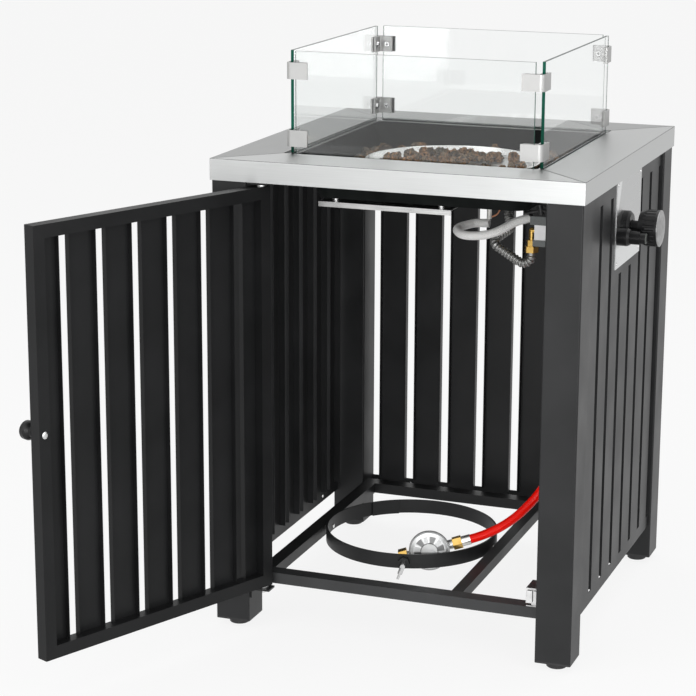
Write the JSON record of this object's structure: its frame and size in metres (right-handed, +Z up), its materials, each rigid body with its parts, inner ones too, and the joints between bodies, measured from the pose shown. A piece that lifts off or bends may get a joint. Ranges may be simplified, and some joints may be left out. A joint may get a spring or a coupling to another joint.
{
  "type": "fire pit table",
  "caption": "Square gas fire pit table: steel top with burner bowl and glass wind guard over a slatted cabinet with a hinged door and a cylinder ring.",
  "frame": {"origin": "on the floor, under the middle of the tabletop", "axes": "+Z up, the door is on the -Y side, the control plate on the +X side"},
  "size_m": [0.7912, 0.9981, 0.93],
  "materials": {
    "stainless": "brushed",
    "black_paint": "satin powder coat",
    "black_plastic": "matte",
    "glass": "clear with green edges",
    "bright_steel": "satin",
    "brass": "turned",
    "zinc": "die cast",
    "red_rubber": "smooth",
    "rock": "porous",
    "ceramic": "unglazed",
    "glass_fibre": "woven",
    "copper": "drawn copper"
  },
  "bodies": {
    "table": {"tabletop": "stainless", "leg_front_left": "black_paint", "leg_front_right": "black_paint", "leg_back_left": "black_paint", "leg_back_right": "black_paint", "feet": "black_plastic", "top_frame": "black_paint", "back_panel": "black_paint", "left_panel": "black_paint", "right_panel": "black_paint", "front_rail": "black_paint", "back_rail": "black_paint", "left_rail": "black_paint", "cross_rail": "black_paint", "cylinder_ring": "black_paint", "clamp_nut": "black_paint", "frame_screws": "bright_steel", "hinge_brackets": "black_paint", "magnet_catch": "black_plastic", "burner_pan": "black_paint", "burner_bowl": "stainless", "burner_plate": "stainless", "burner_tube": "stainless", "inlet_coupling": "brass", "lava_rocks": "rock", "heat_shield": "stainless", "shield_studs": "bright_steel", "control_plate": "stainless", "plate_rivets": "bright_steel", "knob_bezel": "black_plastic", "igniter_body": "black_plastic", "valve_bracket": "zinc", "gas_valve": "zinc", "valve_outlet": "brass", "flexible_pipe": "stainless", "insulating_sleeve": "glass_fibre", "spark_electrode": "ceramic", "thermocouple_lead": "copper", "regulator_body": "zinc", "regulator_cover": "zinc", "regulator_nut": "brass", "gas_hose": "red_rubber", "hose_fittings": "brass"},
    "door": {"door_frame": "black_paint", "door_slats": "black_paint", "door_handle": "black_plastic", "door_pins": "bright_steel"},
    "wind_guard": {"glass_front": "glass", "glass_right": "glass", "glass_back": "glass", "glass_left": "glass", "clip_outer_plates": "bright_steel", "clip_inner_plates": "bright_steel", "clip_screws": "bright_steel"},
    "valve_stem": {"valve_stem": "bright_steel"},
    "control_knob": {"control_knob": "black_plastic", "knob_cap": "bright_steel"},
    "igniter_button": {"igniter_button": "bright_steel"},
    "clamp_pad": {"clamp_pad": "bright_steel"},
    "clamp_screw": {"clamp_screw": "bright_steel"}
  },
  "joints": [
    {"name": "door_hinge", "type": "hinge", "parent": "table", "child": "door", "pos_m": [-0.221, -0.2805, 0.4], "axis": [0, 0, 1], "range_deg": [0, 113.8]},
    {"name": "guard_lift", "type": "slide", "parent": "table", "child": "wind_guard", "axis": [0, 0, 1], "range_m": [0, 0.2]},
    {"name": "knob_push", "type": "slide", "parent": "table", "child": "valve_stem", "axis": [-1, 0, 0], "range_m": [0, 0.003], "stiffness_N_per_m": 1500},
    {"name": "knob_turn", "type": "hinge", "parent": "valve_stem", "child": "control_knob", "pos_m": [0.33, -0.022, 0.655], "axis": [1, 0, 0], "range_deg": [0, 200]},
    {"name": "igniter_push", "type": "slide", "parent": "table", "child": "igniter_button", "axis": [-1, 0, 0], "range_m": [0, 0.004], "stiffness_N_per_m": 900},
    {"name": "pad_slide", "type": "slide", "parent": "table", "child": "clamp_pad", "axis": [-0.2419, 0.9703, 0], "range_m": [0, 0.00937]},
    {"name": "screw_turn", "type": "hinge", "parent": "clamp_pad", "child": "clamp_screw", "pos_m": [-0.03006, -0.13715, 0.089], "axis": [-0.2419, 0.9703, 0], "range_deg": [0, 2700]}
  ],
  "couplings": [
    {"joint": "screw_turn", "follows": "pad_slide", "rad_per_m": 5026.5}
  ]
}
